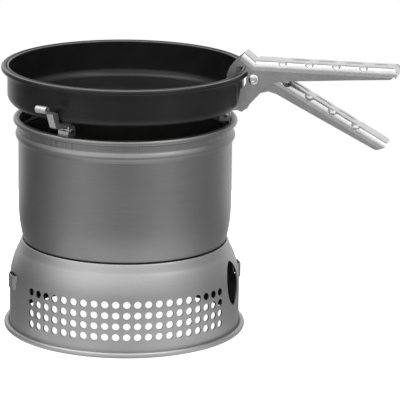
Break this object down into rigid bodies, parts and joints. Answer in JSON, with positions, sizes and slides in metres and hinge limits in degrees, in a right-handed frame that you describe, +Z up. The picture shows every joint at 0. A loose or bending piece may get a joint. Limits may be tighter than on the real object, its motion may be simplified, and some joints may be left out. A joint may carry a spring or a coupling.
{
  "type": "camp cooker",
  "caption": "Nesting camp cooker with a perforated base, upper windshield, folding pot supports, spirit burner with simmer ring, and a frying pan held by a gripper handle.",
  "frame": {"origin": "on the ground, at the middle of the bounding box", "axes": "+Z up; +X along the handle, away from the pan; +Y completes a right-handed frame, so the side seen in the picture faces about -Y"},
  "size_m": [0.3009, 0.1963, 0.2192],
  "materials": {
    "spun_aluminium": "spun, dull grey",
    "bright_aluminium": "pressed, satin",
    "nonstick_coating": "matt black coating on aluminium",
    "rivet_steel": "bright",
    "burner_brass": "satin",
    "wick_felt": "felt"
  },
  "bodies": {
    "base": {"base_shell": "spun_aluminium"},
    "windshield": {"windshield_shell": "spun_aluminium", "support_bracket_1": "bright_aluminium", "support_bracket_2": "bright_aluminium", "support_bracket_3": "bright_aluminium", "support_hinge_pin_1": "rivet_steel", "support_hinge_pin_2": "rivet_steel", "support_hinge_pin_3": "rivet_steel"},
    "support_1": {"pan_support_1": "bright_aluminium"},
    "support_2": {"pan_support_2": "bright_aluminium"},
    "support_3": {"pan_support_3": "bright_aluminium"},
    "pan": {"frying_pan": "nonstick_coating", "grip_upper_lever": "bright_aluminium", "grip_rivet": "rivet_steel"},
    "grip_lever": {"grip_lower_lever": "bright_aluminium"},
    "burner": {"burner_cup": "burner_brass", "burner_jet_ring": "burner_brass", "burner_wick": "wick_felt"},
    "simmer": {"simmer_ring": "burner_brass", "simmer_flap_rivet": "rivet_steel", "simmer_handle_pin": "rivet_steel"},
    "flap": {"simmer_flap": "burner_brass"},
    "simmer_handle": {"simmer_handle": "rivet_steel"}
  },
  "joints": [
    {"name": "windshield_lift", "type": "slide", "parent": "base", "child": "windshield", "axis": [0, 0, 1], "range_m": [0, 0.06]},
    {"name": "pan_lift", "type": "slide", "parent": "windshield", "child": "pan", "axis": [0, 0, 1], "range_m": [0, 0.15]},
    {"name": "support_fold_1", "type": "hinge", "parent": "windshield", "child": "support_1", "pos_m": [-0.08436, -0.06634, 0.167], "axis": [-0.9304, 0.3665, 0], "range_deg": [0, 180]},
    {"name": "support_fold_2", "type": "hinge", "parent": "windshield", "child": "support_2", "pos_m": [0.01805, 0.01808, 0.167], "axis": [0.1822, -0.9833, 0], "range_deg": [0, 180]},
    {"name": "support_fold_3", "type": "hinge", "parent": "windshield", "child": "support_3", "pos_m": [-0.10378, 0.06363, 0.167], "axis": [0.7826, 0.6225, 0], "range_deg": [0, 180]},
    {"name": "grip_close", "type": "hinge", "parent": "pan", "child": "grip_lever", "pos_m": [0.04385, 0.00425, 0.1998], "axis": [0, -1, 0], "range_deg": [0, 12]},
    {"name": "burner_lift", "type": "slide", "parent": "base", "child": "burner", "axis": [0, 0, 1], "range_m": [0, 0.035]},
    {"name": "simmer_lift", "type": "slide", "parent": "burner", "child": "simmer", "axis": [0, 0, 1], "range_m": [0, 0.018]},
    {"name": "flap_swing", "type": "hinge", "parent": "simmer", "child": "flap", "pos_m": [-0.0164, 0.01025, 0.0789], "axis": [0, 0, 1], "range_deg": [0, 80]},
    {"name": "simmer_handle_fold", "type": "hinge", "parent": "simmer", "child": "simmer_handle", "pos_m": [-0.0967, -0.00175, 0.0816], "axis": [0.1478, -0.989, 0], "range_deg": [0, 170]}
  ],
  "couplings": [
    {"joint": "support_fold_1", "follows": "pan_lift", "rad_per_m": 20.944},
    {"joint": "support_fold_2", "follows": "pan_lift", "rad_per_m": 20.944},
    {"joint": "support_fold_3", "follows": "pan_lift", "rad_per_m": 20.944}
  ]
}
